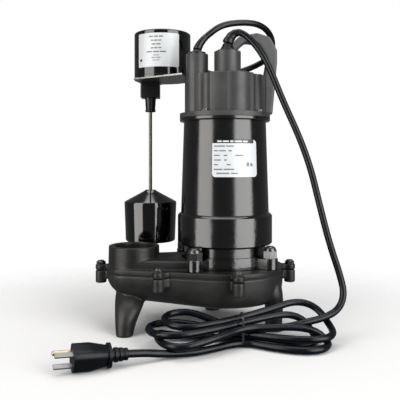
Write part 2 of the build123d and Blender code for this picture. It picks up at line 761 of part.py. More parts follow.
with BuildPart() as float_stop:
    with BuildSketch(plane(88, *ROD)):
        Circle(7)
        Circle(ROD_R, mode=Mode.SUBTRACT)
    extrude(amount=6.2)
    chamfer(float_stop.edges().group_by(Axis.Z)[0].sort_by(SortBy.LENGTH)[-1], 1.2)
save(float_stop, "float_stop")

with BuildPart() as rod_clip:
    with BuildSketch(plane(318.4, *ROD)):
        Circle(5)
        Circle(ROD_R, mode=Mode.SUBTRACT)
    extrude(amount=1.2)
save(rod_clip, "rod_clip")


with BuildPart() as float_body:
    add(spun([(2.6, FLOAT_BOTTOM), (31.5, FLOAT_BOTTOM), (33.2, FLOAT_BOTTOM + 1.6), (FLOAT_R, 146.2),
              (34.4, 147.4), (8.2, 161.6), (6.6, 163), (2.6, 163)], *ROD))
    add(spun([(5.0, FLOAT_BOTTOM + 2.2), (31.2, FLOAT_BOTTOM + 2.2), (32.7, 145.6), (7.0, 159.0),
              (5.0, 159.0)], *ROD), mode=Mode.SUBTRACT)
save(float_body, "float")

# ---------------------------------------------------------------- labels
with BuildPart() as switch_label:
    with BuildSketch(plane(322, *SWITCH)):
        with BuildLine():
            CenterArc((0, 0), SWITCH_R + 0.3, -141, 89)
            CenterArc((0, 0), SWITCH_R, -141, 89)
            Line(polar(SWITCH_R, -141), polar(SWITCH_R + 0.3, -141))
            Line(polar(SWITCH_R, -52), polar(SWITCH_R + 0.3, -52))
        make_face()
    extrude(amount=43)
save(switch_label, "switch_label")


def barrel_radius(z):
    share = (z - RING_TOP - 0.8) / (BARREL_TOP - RING_TOP - 0.8)
    return BARREL_R + (BARREL_TOP_R - BARREL_R) * share


NAMEPLATE_START = radians(-108.6)
with BuildPart() as nameplate:
    with BuildSketch(Plane((AXIS_X, AXIS_Y, 0), x_dir=(cos(NAMEPLATE_START), sin(NAMEPLATE_START), 0),
                           z_dir=(sin(NAMEPLATE_START), -cos(NAMEPLATE_START), 0))):
        with BuildLine():
            Polyline((barrel_radius(183), 183), (barrel_radius(183) + 0.3, 183),
                     (barrel_radius(227) + 0.3, 227), (barrel_radius(227), 227), close=True)
        make_face()
    revolve(axis=Axis((AXIS_X, AXIS_Y, 0), (0, 0, 1)), revolution_arc=61.1)
save(nameplate, "nameplate")

# ---------------------------------------------------------------- cords and plug
DROP_ROUTE = [
    (2, -29, 342.6), (4.8, -29.3, 350.5), (14, -31, 357), (25, -34, 351), (40, -38, 333),
    (52, -42, 309), (66, -46, 272), (84, -50, 231), (97, -53, 194), (107, -56, 150),
    (117, -60, 108), (129, -64, 70), (132.5, -67, 50), (125.5, -70, 32), (108, -75, 21),
    (84, -80, 19.5), (60, -83, 18)]
TAIL_ROUTE = [(-30, -122, 4.2), (-46, -127.5, 4.6), (-60, -132, 5.2), (-74, -136.5, 7.0),
              (-88.3, -142.9, 9.8), (-103, -149, 11)]
SWITCH_CORD_ROUTE = [
    (-34.6, -19, 336.6), (-31.5, -17.5, 345.5), (-21.5, -14.5, 356), (-5, -9, 369.5),
    (19, 1, 375.6), (44, 15, 377), (60, 32, 370), (67, 47, 356), (62, 56, 341),
    (46, 58, 331), (24, 55, 322), (2, 51, 316), (-18, 49, 318), (-34, 48, 324)]
PLUG_AXIS = Vector(-0.92, -0.385, 0.055).normalized()
PLUG_END = TAIL_ROUTE[-1]


def cord_tube(route, name):
    """Round cord along straight runs joined by arcs as large as the runs allow."""
    at = [Vector(AXIS_X + x, AXIS_Y + y, z) for x, y, z in route]
    radii = []
    for before, corner, after in zip(at, at[1:], at[2:]):
        turn = radians((corner - before).get_angle(after - corner))
        shorter = min((corner - before).length, (after - corner).length)
        radii.append(0.45 * shorter / tan(turn / 2))
    with BuildPart() as tube:
        with BuildLine() as path:
            FilletPolyline(*at, radius=radii)
        with BuildSketch(Plane(at[0], z_dir=at[1] - at[0])):
            Circle(CORD_R)
        sweep(path=path.line)
    section = pi * CORD_R ** 2
    length = sum(edge.length for edge in path.edges())
    print(name, "radii", [round(r) for r in radii], "length", round(length),
          "volume / section x length", round(tube.part.volume / section / length, 4))
    save(tube, name)


cord_tube(DROP_ROUTE, "power_cord_drop")
cord_tube(TAIL_ROUTE, "power_cord_tail")
cord_tube(SWITCH_CORD_ROUTE, "switch_cord")

TIE_X = 15.5
TIE_MID = (-85.0, 16.9)
with BuildPart() as power_cord_hank:
    with BuildSketch(plane(0)):
        with Locations((-36, -95)):
            Ellipse(56, 40)
        with Locations((66, -90)):
            Ellipse(56, 37)
        with Locations((13, -86)):
            Rectangle(50, 26)
        with Locations((-40, -93)):
            Ellipse(22, 10, mode=Mode.SUBTRACT)
        with Locations((68, -90)):
            Ellipse(24, 11, mode=Mode.SUBTRACT)
    extrude(amount=38)
    split(bisect_by=Plane((AXIS_X, AXIS_Y - 128, 13), z_dir=(0, -0.28, 1)), keep=Keep.BOTTOM)
    with BuildSketch(Plane((AXIS_X + TIE_X, AXIS_Y, 0), x_dir=(0, 1, 0), z_dir=(1, 0, 0))):
        with Locations(TIE_MID):
            Rectangle(60, 60)
            RectangleRounded(28, 32, 8, mode=Mode.SUBTRACT)
    extrude(amount=3, both=True, mode=Mode.SUBTRACT)
save(power_cord_hank, "power_cord_hank")

with BuildPart() as cord_tie:
    with BuildSketch(Plane((AXIS_X + TIE_X, AXIS_Y, 0), x_dir=(0, 1, 0), z_dir=(1, 0, 0))):
        with Locations(TIE_MID):
            RectangleRounded(29.6, 33.6, 8.8)
            RectangleRounded(28, 32, 8, mode=Mode.SUBTRACT)
    extrude(amount=1.2, both=True)
save(cord_tie, "cord_tie")


def plug_plane(distance):
    """Plane across the plug at a distance from the cord end; local X points up the blades."""
    up = Vector(0, 0, 1) - PLUG_AXIS * PLUG_AXIS.Z
    side = PLUG_AXIS.cross(up)
    rolled = up * cos(radians(20)) - side * sin(radians(20))
    origin = Vector(AXIS_X + PLUG_END[0], AXIS_Y + PLUG_END[1], PLUG_END[2]) + PLUG_AXIS * distance
    return Plane(origin, x_dir=rolled, z_dir=PLUG_AXIS)


with BuildPart() as plug_body:
    for distance, radius in ((0, 6.0), (5, 6.6), (10, 7.2)):
        with BuildSketch(plug_plane(distance)):
            Circle(radius)
        extrude(amount=3.4)
    with BuildSketch(plug_plane(0.5)):
        Circle(5.2)
    extrude(amount=18)
    with BuildSketch(plug_plane(17)):
        RectangleRounded(21, 23, 8)
    extrude(amount=3.2)
    with BuildSketch(plug_plane(19)):
        RectangleRounded(17, 18, 6)
    with BuildSketch(plug_plane(38)):
        RectangleRounded(23, 24, 7)
    loft()
    with BuildSketch(plug_plane(38)):
        RectangleRounded(23, 24, 7)
    extrude(amount=16)
save(plug_body, "plug_body")

with BuildPart() as plug_blades:
    for offset_up in (6.35, -6.35):
        with BuildSketch(plug_plane(54)):
            with Locations((offset_up, -3)):
                Rectangle(1.5, 6.4)
        extrude(amount=17.5)
save(plug_blades, "plug_blades")

with BuildPart() as plug_ground_pin:
    with BuildSketch(plug_plane(54)):
        with Locations((0, 8.9)):
            Circle(2.35)
    extrude(amount=18)
    fillet(plug_ground_pin.faces().sort_by(Axis.X)[0].edges(), 1.8)
save(plug_ground_pin, "plug_ground_pin")
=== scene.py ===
import json
import math

import bmesh
import bpy
from mathutils import Matrix, Vector

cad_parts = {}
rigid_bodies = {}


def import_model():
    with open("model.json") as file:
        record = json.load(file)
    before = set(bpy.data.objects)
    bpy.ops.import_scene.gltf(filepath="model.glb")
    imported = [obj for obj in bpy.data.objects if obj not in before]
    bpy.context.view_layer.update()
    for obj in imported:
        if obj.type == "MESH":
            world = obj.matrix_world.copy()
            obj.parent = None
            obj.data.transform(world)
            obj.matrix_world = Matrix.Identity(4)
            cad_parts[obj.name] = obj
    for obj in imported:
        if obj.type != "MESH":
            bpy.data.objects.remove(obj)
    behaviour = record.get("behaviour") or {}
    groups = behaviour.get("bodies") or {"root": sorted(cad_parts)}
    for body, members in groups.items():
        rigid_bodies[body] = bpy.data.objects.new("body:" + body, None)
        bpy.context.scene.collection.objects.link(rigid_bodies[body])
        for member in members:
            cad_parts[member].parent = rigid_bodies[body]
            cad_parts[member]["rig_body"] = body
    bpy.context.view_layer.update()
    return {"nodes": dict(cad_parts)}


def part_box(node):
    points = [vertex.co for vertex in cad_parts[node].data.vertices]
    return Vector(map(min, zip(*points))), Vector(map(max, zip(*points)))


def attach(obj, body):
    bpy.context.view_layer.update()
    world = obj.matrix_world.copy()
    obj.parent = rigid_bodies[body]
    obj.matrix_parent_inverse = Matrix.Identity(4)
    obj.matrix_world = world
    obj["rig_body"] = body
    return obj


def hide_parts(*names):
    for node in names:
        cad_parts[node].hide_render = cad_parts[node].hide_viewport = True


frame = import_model()

MM = 0.001
AXIS = Vector((36.5, -2.8, 0)) * MM     # the motor axis in the frame


def at(x, y, z):
    """A point given in millimetres from the motor axis, in the frame's metres."""
    return AXIS + Vector((x, y, z)) * MM


# ------------------------------------------------------------------ camera and cords
def add_camera():
    """A level camera in front of the pump, shifted down to frame it."""
    data = bpy.data.cameras.new("camera")
    data.lens = 51.0
    data.sensor_width = 36.0
    data.shift_y = -0.096
    data.clip_start = 0.01
    camera = bpy.data.objects.new("camera", data)
    camera.location = at(-31, -709, 201)
    camera.rotation_euler = (math.radians(90), 0, 0)
    bpy.context.scene.collection.objects.link(camera)
    bpy.context.scene.camera = camera


CORD_D = 7.8
DROP_ROUTE = [
    (2, -29, 342.6), (4.8, -29.3, 350.5), (14, -31, 357), (25, -34, 351), (40, -38, 333),
    (52, -42, 309), (66, -46, 272), (84, -50, 231), (97, -53, 194), (107, -56, 150),
    (117, -60, 108), (129, -64, 70), (132.5, -67, 50), (125.5, -70, 34), (108, -75, 26),
    (84, -80, 22), (60, -83, 17)]
TAIL_ROUTE = [(-30, -122, 4.2), (-46, -127.5, 4.6), (-60, -132, 5.2), (-74, -136.5, 7.0),
              (-88.3, -142.9, 9.8), (-103, -149, 11)]
SWITCH_CORD_ROUTE = [
    (-34.6, -19, 336.6), (-31.5, -17.5, 345.5), (-21.5, -14.5, 356), (-5, -9, 369.5),
    (19, 1, 375.6), (44, 15, 377), (60, 32, 370), (67, 47, 356), (62, 56, 341),
    (46, 58, 331), (24, 55, 322), (2, 51, 316), (-18, 49, 318), (-34, 48, 324)]

# The hank is a figure of eight through the tie. Each lobe leaves the tie, goes round the back first
# and comes in again at the front: reach, rear and front in x and y, then heights round the lobe.
TIE_X = 15.5
LOBES = [
    dict(reach=-87, start=(-76, 13), end=(-80, 28), rear=-62, front=-110, heights=(30, 27, 25)),
    dict(reach=101, start=(-80, 28), end=(-84, 11.8), rear=-54, front=-113, heights=(41, 14, 13)),
    dict(reach=-104, start=(-84, 11.8), end=(-88, 24.5), rear=-70, front=-128, heights=(20, 19, 22)),
    dict(reach=82, start=(-88, 24.5), end=(-80, 4.2), rear=-67, front=-104, heights=(29, 5, 4.4)),
    dict(reach=-94, start=(-80, 4.2), end=(-95, 20.5), rear=-74, front=-140, heights=(6, 13, 13.4)),
    dict(reach=93, start=(-95, 20.5), end=(-90, 4.4), rear=-89, front=-122, heights=(20, 4.6, 4.4)),
]
LOBE_STEPS = 9


def ease(keys, share):
    """Smooth value between evenly spaced keys, for a share of 0 to 1."""
    place = min(share * (len(keys) - 1), len(keys) - 1.0001)
    left = int(place)
    blend = 0.5 - 0.5 * math.cos(math.pi * (place - left))
    return keys[left] + (keys[left + 1] - keys[left]) * blend


def hank_points():
    """The spline points of all the lobes, from the first pass of the tie to the last."""
    points = []
    for lobe in LOBES:
        (start_y, start_z), (end_y, end_z) = lobe["start"], lobe["end"]
        heights = (start_z, *lobe["heights"], end_z)
        for step in range(LOBE_STEPS):
            share = step / LOBE_STEPS
            sway = math.sin(2 * math.pi * share)
            tie_y = start_y + (end_y - start_y) * share
            depth = (lobe["rear"] - tie_y) if sway > 0 else (tie_y - lobe["front"])
            points.append((TIE_X + lobe["reach"] * math.sin(math.pi * share),
                           tie_y + depth * sway, ease(heights, share)))
    last_y, last_z = LOBES[-1]["end"]
    points.append((TIE_X, last_y, last_z))
    return points


def cord_curve(name, route):
    """One open NURBS spline through listed points, given the cord's thickness."""
    data = bpy.data.curves.new(name, "CURVE")
    data.dimensions = "3D"
    data.bevel_depth = CORD_D / 2 * MM
    data.bevel_resolution = 8
    data.resolution_u = 10
    spline = data.splines.new("NURBS")
    spline.points.add(len(route) - 1)
    for point, place in zip(spline.points, route):
        point.co = (*at(*place), 1)
    spline.order_u = 3
    spline.use_endpoint_u = True
    piece = bpy.data.objects.new(name, data)
    bpy.context.scene.collection.objects.link(piece)
    return piece


POWER_ROUTE = DROP_ROUTE + hank_points() + TAIL_ROUTE

# ------------------------------------------------------------------ materials
RIPPLE_BLEND = 4.0      # height over which low_ripple fades into ripple
BEVEL_SAMPLES = 4


def new_material(name):
    material = bpy.data.materials.new(name)
    material.use_nodes = True
    material.node_tree.nodes.clear()
    return material, material.node_tree.nodes, material.node_tree.links


def finish_material(name, tone, roughness, *, metallic=0.0, mottle=(30, 0.25), grain=(900, 0.10),
                    ripple=(0, 0.0), low_ripple=None, spread=0.06, wear=None, wear_width=0.9,
                    soft_edge=0.35, specular=0.5, brushed=None):
    """A surface with mottled tone, painted glint flecks, uneven roughness, fine grain, broad ripple and worn
    edges.

    mottle, grain and ripple are (scale per metre, strength), low_ripple is (height in metres below which it
    holds, strength), brushed stretches the grain, and wear_width and soft_edge are in millimetres.
    """
    material, nodes, links = new_material(name)
    out = nodes.new("ShaderNodeOutputMaterial")
    shader = nodes.new("ShaderNodeBsdfPrincipled")
    links.new(shader.outputs["BSDF"], out.inputs["Surface"])
    shader.inputs["Metallic"].default_value = metallic
    shader.inputs["Specular IOR Level"].default_value = specular
    place = nodes.new("ShaderNodeTexCoord").outputs["Object"]
    if brushed:
        stretch = nodes.new("ShaderNodeMapping")
        stretch.inputs["Scale"].default_value = brushed
        links.new(place, stretch.inputs["Vector"])
        grain_place = stretch.outputs["Vector"]
    else:
        grain_place = place

    def noise(scale, detail=3.0, where=place, rough=0.55):
        node = nodes.new("ShaderNodeTexNoise")
        node.inputs["Scale"].default_value = scale
        node.inputs["Detail"].default_value = detail
        node.inputs["Roughness"].default_value = rough
        links.new(where, node.inputs["Vector"])
        return node.outputs["Fac"]

    def remap(value, low, high, from_low=0.3, from_high=0.7):
        node = nodes.new("ShaderNodeMapRange")
        node.inputs["From Min"].default_value = from_low
        node.inputs["From Max"].default_value = from_high
        node.inputs["To Min"].default_value = low
        node.inputs["To Max"].default_value = high
        links.new(value, node.inputs["Value"])
        return node.outputs["Result"]

    def mix(factor, first, second):
        node = nodes.new("ShaderNodeMix")
        node.data_type = "RGBA"
        links.new(factor, node.inputs["Factor"])
        for socket, value in ((node.inputs[6], first), (node.inputs[7], second)):
            if isinstance(value, tuple):
                socket.default_value = (*value, 1)
            else:
                links.new(value, socket)
        return node.outputs[2]

    scale, amount = mottle
    cloud = noise(scale, 4.0)
    # Lighter flecks at grain scale: painted glints, not a colour of the surface.
    glint_speckle = noise(grain[0] * 0.6, 2.0, grain_place)
    dark = tuple(c * (1 - amount) for c in tone)
    light = tuple(c * (1 + amount) for c in tone)
    colour = mix(remap(cloud, 0, 1), dark, light)
    colour = mix(remap(glint_speckle, 0.0, 0.35, 0.45, 0.75), colour, tuple(c * (1 + 2 * amount) for c in tone))

    bevel = nodes.new("ShaderNodeBevel")
    bevel.samples = BEVEL_SAMPLES
    bevel.inputs["Radius"].default_value = soft_edge * MM
    if wear:
        wide = nodes.new("ShaderNodeBevel")
        wide.samples = BEVEL_SAMPLES
        wide.inputs["Radius"].default_value = wear_width * MM
        plain = nodes.new("ShaderNodeNewGeometry").outputs["Normal"]
        dot = nodes.new("ShaderNodeVectorMath")
        dot.operation = "DOT_PRODUCT"
        links.new(wide.outputs["Normal"], dot.inputs[0])
        links.new(plain, dot.inputs[1])
        edge = remap(dot.outputs["Value"], 1.0, 0.0, 0.86, 0.995)
        broken = nodes.new("ShaderNodeMath")
        broken.operation = "MULTIPLY"
        links.new(edge, broken.inputs[0])
        links.new(remap(noise(260, 4.0), 0.0, 1.0, 0.42, 0.62), broken.inputs[1])
        colour = mix(broken.outputs["Value"], colour, wear)
    links.new(colour, shader.inputs["Base Color"])
    patches = remap(noise(scale * 2.3, 4.0), roughness - spread, roughness + spread)
    links.new(patches, shader.inputs["Roughness"])

    bump = nodes.new("ShaderNodeBump")
    bump.inputs["Strength"].default_value = grain[1]
    bump.inputs["Distance"].default_value = 0.4 * MM
    links.new(noise(grain[0], 3.0, grain_place), bump.inputs["Height"])
    links.new(bevel.outputs["Normal"], bump.inputs["Normal"])
    normal = bump.outputs["Normal"]
    if ripple[0]:
        wave = nodes.new("ShaderNodeBump")
        wave.inputs["Strength"].default_value = ripple[1]
        wave.inputs["Distance"].default_value = 1.0 * MM
        if low_ripple:
            split = nodes.new("ShaderNodeSeparateXYZ")
            links.new(place, split.inputs["Vector"])
            top, strength = low_ripple
            by_height = remap(split.outputs["Z"], strength, ripple[1], top, top + RIPPLE_BLEND * MM)
            links.new(by_height, wave.inputs["Strength"])
        links.new(noise(ripple[0], 2.0), wave.inputs["Height"])
        links.new(normal, wave.inputs["Normal"])
        normal = wave.outputs["Normal"]
    links.new(normal, shader.inputs["Normal"])
    return material


IRON_WEAR = (0.10, 0.10, 0.098)
CAST_IRON = finish_material("cast_iron", (0.0105, 0.0104, 0.0102), 0.38, grain=(1500, 0.42),
                            ripple=(120, 0.10), mottle=(45, 0.35), wear=IRON_WEAR, wear_width=1.2,
                            soft_edge=0.8, specular=0.3)
# A darker copy of the cast iron for the upper casing: painted shade that tones down how bright the overhead
# light makes its upward faces.
CAST_IRON_SHADED_TOP = finish_material("cast_iron_top_painted_shade", (0.0085, 0.0084, 0.0082), 0.33, grain=(1300, 0.40),
                                ripple=(120, 0.12), mottle=(45, 0.35), wear=IRON_WEAR, wear_width=1.2,
                                soft_edge=0.8, specular=0.24)
MOTOR_PAINT = finish_material("motor_paint", (0.0016, 0.0016, 0.0016), 0.16, grain=(800, 0.10),
                              mottle=(20, 0.2), ripple=(150, 0.02), low_ripple=(0.137, 0.16), spread=0.03,
                              soft_edge=0.6, specular=0.66)
COVER_PLASTIC = finish_material("cover_plastic", (0.028, 0.028, 0.0285), 0.42, grain=(1900, 0.10),
                                mottle=(34, 0.28), ripple=(60, 0.02), soft_edge=0.5,
                                wear=(0.045, 0.045, 0.046), wear_width=0.8, specular=0.34)
HANDLE_PLASTIC = finish_material("handle_plastic", (0.062, 0.062, 0.064), 0.48, grain=(1700, 0.16),
                                 mottle=(34, 0.16), ripple=(50, 0.02), soft_edge=0.8, specular=0.26)
SWITCH_PLASTIC = finish_material("switch_plastic", (0.0016, 0.0016, 0.0016), 0.1, grain=(900, 0.03),
                                 mottle=(24, 0.2), spread=0.03, soft_edge=0.6, specular=0.62)
FLOAT_PLASTIC = finish_material("float_plastic", (0.0014, 0.0014, 0.0015), 0.1, grain=(900, 0.025),
                                mottle=(24, 0.2), ripple=(45, 0.012), spread=0.03, soft_edge=0.7,
                                specular=0.66)
BLACK_MOULDING = finish_material("black_moulding", (0.0026, 0.0026, 0.0027), 0.34, grain=(1600, 0.12),
                                 mottle=(40, 0.2), soft_edge=0.5, specular=0.32)
CORD_JACKET = finish_material("cord_jacket", (0.0013, 0.0021, 0.0036), 0.27, grain=(2200, 0.12),
                              mottle=(60, 0.25), ripple=(120, 0.012), specular=0.22)
PLUG_RUBBER = finish_material("plug_rubber", (0.0018, 0.0026, 0.0038), 0.34, grain=(2000, 0.14),
                              mottle=(60, 0.2), ripple=(90, 0.02), soft_edge=0.7, specular=0.18)
GASKET_RUBBER = finish_material("gasket_rubber", (0.008, 0.008, 0.008), 0.6, grain=(1500, 0.2),
                                mottle=(60, 0.25))
TIE_PLASTIC = finish_material("tie_plastic", (0.012, 0.014, 0.018), 0.3, grain=(1200, 0.08),
                              mottle=(90, 0.2))
ZINC = finish_material("zinc_plate", (0.22, 0.22, 0.215), 0.36, metallic=1.0, grain=(1300, 0.10),
                       mottle=(110, 0.25), ripple=(90, 0.04), wear=(0.4, 0.4, 0.39), spread=0.08,
                       soft_edge=0.4)
STAINLESS = finish_material("stainless", (0.52, 0.51, 0.49), 0.24, metallic=1.0, grain=(2600, 0.10),
                            mottle=(150, 0.15), brushed=(1, 1, 9), soft_edge=0.3)
BLACK_STEEL = finish_material("black_steel", (0.012, 0.012, 0.0118), 0.22, grain=(1400, 0.10),
                              mottle=(160, 0.3), wear=(0.34, 0.335, 0.32), wear_width=0.35, soft_edge=0.4,
                              specular=0.8)
ROD_STEEL = finish_material("rod_steel", (0.12, 0.115, 0.088), 0.32, metallic=1.0, grain=(2400, 0.10),
                            mottle=(120, 0.25), brushed=(9, 9, 1))
BEARING_STEEL = finish_material("bearing_steel", (0.62, 0.62, 0.62), 0.12, metallic=1.0, grain=(2600, 0.04),
                                mottle=(150, 0.1))
LAMINATION = finish_material("lamination_steel", (0.17, 0.17, 0.18), 0.42, metallic=1.0, grain=(1800, 0.25),
                             mottle=(150, 0.2), brushed=(0.2, 0.2, 3))
COPPER = finish_material("winding_copper", (0.62, 0.24, 0.09), 0.26, metallic=1.0, grain=(1700, 0.25),
                         mottle=(160, 0.25), brushed=(0.4, 0.4, 2))
CERAMIC = finish_material("seal_ceramic", (0.60, 0.57, 0.50), 0.2, grain=(900, 0.02), mottle=(80, 0.06))
IMPELLER = finish_material("impeller_plastic", (0.055, 0.053, 0.050), 0.42, grain=(1500, 0.12),
                           mottle=(50, 0.2))
CAPACITOR = finish_material("capacitor_case", (0.02, 0.021, 0.024), 0.3, grain=(1200, 0.06),
                            mottle=(40, 0.2))
NICKEL = finish_material("nickel_blade", (0.27, 0.275, 0.28), 0.34, metallic=1.0, grain=(2400, 0.08),
                         mottle=(180, 0.15), brushed=(1, 6, 6), soft_edge=0.25)
BRASS = finish_material("brass_pin", (0.46, 0.38, 0.22), 0.34, metallic=1.0, grain=(2200, 0.08),
                        mottle=(160, 0.15), soft_edge=0.25)
LABEL_WHITE = finish_material("label_white", (0.43, 0.445, 0.46), 0.35, grain=(1200, 0.03),
                              mottle=(60, 0.03), soft_edge=0.05)
LABEL_DARK = finish_material("label_dark", (0.002, 0.002, 0.002), 0.3, grain=(1200, 0.03), mottle=(60, 0.1),
                             soft_edge=0.05)
LABEL_GREY = finish_material("label_grey", (0.10, 0.105, 0.115), 0.4, grain=(1200, 0.03), mottle=(500, 0.4),
                             soft_edge=0.05)

NODE_LOOKS = {
    CAST_IRON: ["lower_casing", "casing_legs"],
    CAST_IRON_SHADED_TOP: ["upper_casing"],
    MOTOR_PAINT: ["motor_housing", "seal_plate"],
    COVER_PLASTIC: ["top_cover"],
    HANDLE_PLASTIC: ["carry_handle"],
    SWITCH_PLASTIC: ["switch_housing", "switch_base"],
    FLOAT_PLASTIC: ["float"],
    BLACK_MOULDING: ["switch_stem", "switch_side_gland", "switch_cord_gland", "power_cord_gland", "rod_boot",
                     "microswitch"],
    PLUG_RUBBER: ["plug_body"],
    GASKET_RUBBER: ["casing_gasket", "cover_gasket", "seal_plate_o_ring", "float_stop"],
    TIE_PLASTIC: ["cord_tie"],
    ZINC: ["switch_bracket", "bracket_screws", "rod_clip"],
    STAINLESS: ["cover_screws", "handle_screws", "switch_lever", "lever_pin", "seal_spring", "impeller_nut",
                "seal_plate_screws"],
    BLACK_STEEL: ["casing_screws", "housing_studs", "stud_washers", "dome_nuts"],
    ROD_STEEL: ["float_rod", "shaft"],
    BEARING_STEEL: ["lower_bearing_outer_ring", "upper_bearing_outer_ring", "lower_bearing_inner_ring",
                    "upper_bearing_inner_ring", "bearing_balls"],
    LAMINATION: ["rotor_core", "stator_core", "upper_bearing_bracket", "overload_protector"],
    COPPER: ["stator_windings"],
    CERAMIC: ["seal_seat", "seal_head"],
    IMPELLER: ["impeller"],
    CAPACITOR: ["capacitor"],
    NICKEL: ["plug_blades"],
    BRASS: ["plug_ground_pin"],
}


def paint(piece, *materials):
    """Gives a piece these materials, in place of any it has."""
    piece.data.materials.clear()
    for material in materials:
        piece.data.materials.append(material)


CRISP_ANGLE = 30
WELD_GAP = 0.01


def even_shading(node):
    """Curved faces shaded smooth, and edges sharper than CRISP_ANGLE kept crisp."""
    for extra in ("custom_normal", "sharp_edge", "sharp_face"):
        if extra in node.data.attributes:
            node.data.attributes.remove(node.data.attributes[extra])
    weld = node.modifiers.new("weld", "WELD")
    weld.merge_threshold = WELD_GAP * MM
    split = node.modifiers.new("crisp_edges", "EDGE_SPLIT")
    split.split_angle = math.radians(CRISP_ANGLE)
    split.use_edge_sharp = False


for look, names in NODE_LOOKS.items():
    for name in names:
        node = frame["nodes"][name]
        paint(node, look)
        for polygon in node.data.polygons:
            polygon.material_index = 0
        even_shading(node)


# ------------------------------------------------------------------ cast pieces
def cast_copy(name, sources, voxel, rounds, look):
    """CAD nodes as one piece with cast, rounded edges and corners, standing for them."""
    originals = [frame["nodes"][source] for source in sources]
    bm = bmesh.new()
    for original in originals:
        bm.from_mesh(original.data)
    piece = object_from(bm, name)
    remesh = piece.modifiers.new("remesh", "REMESH")
    remesh.mode = "VOXEL"
    remesh.voxel_size = voxel * MM
    remesh.adaptivity = 0.0
    smooth = piece.modifiers.new("smooth", "SMOOTH")
    smooth.factor = 0.5
    smooth.iterations = rounds
    graph = bpy.context.evaluated_depsgraph_get()
    mesh = bpy.data.meshes.new_from_object(piece.evaluated_get(graph))
    piece.modifiers.clear()
    piece.data = mesh
    boxes = [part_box(source) for source in sources]
    low = [min(box[0][i] for box in boxes) for i in range(3)]
    high = [max(box[1][i] for box in boxes) for i in range(3)]
    for vertex in mesh.vertices:
        vertex.co = [min(max(vertex.co[i], low[i]), high[i]) for i in range(3)]
    mesh.shade_smooth()
    paint(piece, look)
    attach(piece, originals[0]["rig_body"])
    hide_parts(*sources)


def make_castings():
    """The cast casing halves and the moulded handle, with the voxel size and smoothing each one needs."""
    cast_copy("lower_casting", ["lower_casing", "casing_legs"], 1.1, 5, CAST_IRON)
    cast_copy("upper_casting", ["upper_casing"], 0.9, 4, CAST_IRON_SHADED_TOP)
    cast_copy("moulded_handle", ["carry_handle"], 0.7, 5, HANDLE_PLASTIC)


# ------------------------------------------------------------------ labels
def curved_plate(bm, middle, radius, span, heights, depth, index, columns=24, corner=(0, 0, 0, 0)):
    """A thin closed plate wrapped round a vertical axis, where radius gives the wall's radius at a height.
    Corner radii: low left, low right, high right, high left."""
    start, end = (math.radians(a) for a in span)
    low, high = heights
    length = (end - start) * radius(low)
    rings = []
    for column in range(columns + 1):
        share = column / columns
        run = share * length

        def inset(left_r, right_r):
            for near, r in ((run, left_r), (length - run, right_r)):
                if near < r:
                    return r - math.sqrt(max(r * r - (r - near) ** 2, 0))
            return 0.0
        floor_z = low + inset(corner[0], corner[1])
        top_z = high - inset(corner[3], corner[2])
        angle = start + (end - start) * share
        ring = []
        for lift, z in ((0, floor_z), (depth, floor_z), (depth, top_z), (0, top_z)):
            r = radius(z) + lift
            ring.append(bm.verts.new(at(middle[0] + r * math.cos(angle), middle[1] + r * math.sin(angle), z)))
        rings.append(ring)
    for left, right in zip(rings, rings[1:]):
        for k in range(4):
            face = bm.faces.new((left[k], right[k], right[(k + 1) % 4], left[(k + 1) % 4]))
            face.material_index = index
    for ring in (rings[0], rings[-1]):
        face = bm.faces.new(ring)
        face.material_index = index


def object_from(bm, name, *materials):
    """An object in the scene made from a bmesh, whose faces keep their material numbers."""
    bmesh.ops.recalc_face_normals(bm, faces=bm.faces)
    mesh = bpy.data.meshes.new(name)
    for material in materials:
        mesh.materials.append(material)
    bm.to_mesh(mesh)
    bm.free()
    piece = bpy.data.objects.new(name, mesh)
    bpy.context.scene.collection.objects.link(piece)
    return piece


BARREL_LOW, BARREL_HIGH = (137.8, 54.7), (250.5, 51.1)      # height and radius at the barrel's ends
LABEL_T = 0.22
PRINT_T = 0.26


def barrel_radius(z):
    """The barrel tapers evenly from its ring to its rim."""
    (low, low_radius), (high, high_radius) = BARREL_LOW, BARREL_HIGH
    return low_radius + (high_radius - low_radius) * (z - low) / (high - low)


def make_nameplate():
    """White plate with a dark header, and bars in place of print."""
    bm = bmesh.new()
    span, low, high = (-108.6, -47.5), 183.0, 227.0
    header_depth, tab = 4.6, 4.5
    degree = math.radians(1) * barrel_radius((low + high) / 2)
    width = (span[1] - span[0]) * degree

    def strip(across, heights, lift, index, columns, corner=(0, 0, 0, 0)):
        """A plate between two distances from the label's left edge, in millimetres along the barrel."""
        angles = [span[0] + distance / degree for distance in across]
        curved_plate(bm, (0, 0), barrel_radius, angles, heights, lift, index, columns, corner)

    strip((0, width), (low, high - header_depth), LABEL_T, 0, 60, (4, 4, 0, 0))
    strip((4, width - tab), (high - header_depth, high), LABEL_T, 1, 50, (0, 0, 0.8, 0.8))
    strip((width - tab, width), (high - header_depth, high - 0.6), LABEL_T, 0, 16, (0, 0, 4, 0))
    for start, length in ((6, 5), (12.5, 7), (21, 4), (26.5, 9), (37, 6)):
        strip((start, start + length), (high - 3.4, high - 1.5), PRINT_T, 3, 4)
    rows = [(36.0, [(2, 13), (16.5, 9)]),
            (30.6, [(2, 5), (8, 8), (19, 4)]),
            (25.2, [(2, 7), (13.5, 4), (27, 10)]),
            (19.8, [(2, 8), (14, 3)]),
            (14.4, [(2, 5), (17, 4.5)]),
            (9.0, [(2, 10), (13.5, 12)]),
            (4.4, [(5, 15), (22, 8)])]
    bar_half = 0.75
    for height, bars in rows:
        for start, length in bars:
            strip((start, start + length), (low + height - bar_half, low + height + bar_half), PRINT_T, 2, 6)
    for block in range(2):
        strip((41 + 5 * block, 44.5 + 5 * block), (low + 12.5, low + 17 - block), PRINT_T, 2, 4)
    plate = object_from(bm, "name_plate", LABEL_WHITE, LABEL_DARK, LABEL_GREY, LABEL_WHITE)
    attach(plate, "pump")
    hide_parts("nameplate")


